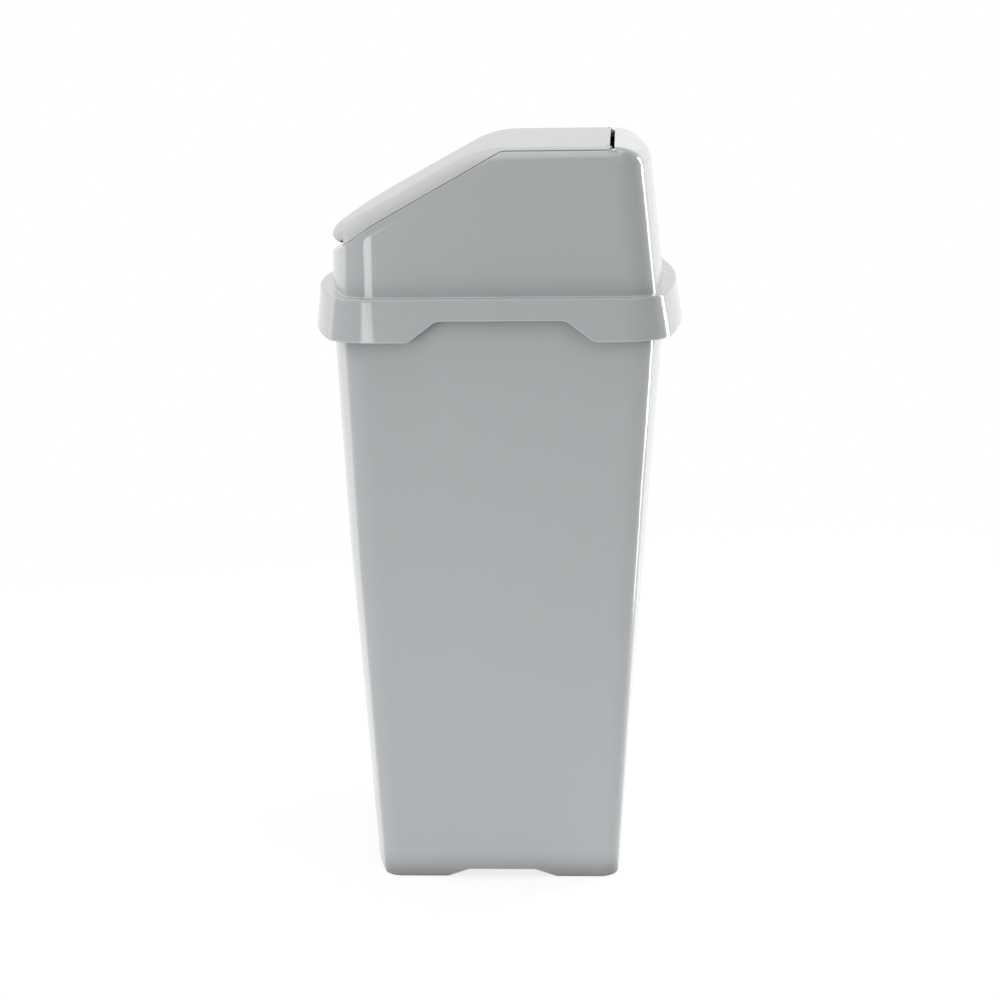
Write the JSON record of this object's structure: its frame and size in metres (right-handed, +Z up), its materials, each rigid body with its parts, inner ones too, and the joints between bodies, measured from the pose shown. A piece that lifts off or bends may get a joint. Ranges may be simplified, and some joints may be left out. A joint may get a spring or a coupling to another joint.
{
  "type": "lift-top trash can",
  "caption": "Tall tapered kitchen trash can with a drop-on hood and a hinged lift-up lid that slopes down to the front.",
  "frame": {"origin": "centre of the bounding box at floor level, under the feet", "axes": "+Z up, the front with the lid's nose faces -Y, the long side of the plan runs along X"},
  "size_m": [0.39, 0.3332, 0.6585],
  "materials": {
    "grey_plastic": "moulded polypropylene, light cool grey, glossy with a fine orange-peel ripple",
    "pin_steel": "plain drawn steel"
  },
  "bodies": {
    "bin": {"bin_body": "grey_plastic"},
    "hood": {"hood": "grey_plastic", "hinge_pin_left": "pin_steel", "hinge_pin_right": "pin_steel"},
    "lid": {"lid": "grey_plastic"}
  },
  "joints": [
    {"name": "hood_lift", "type": "slide", "parent": "bin", "child": "hood", "axis": [0, 0, 1], "range_m": [0, 0.06]},
    {"name": "lid_hinge", "type": "hinge", "parent": "hood", "child": "lid", "pos_m": [0, 0.104, 0.656], "axis": [-1, 0, 0], "range_deg": [0, 90]}
  ]
}
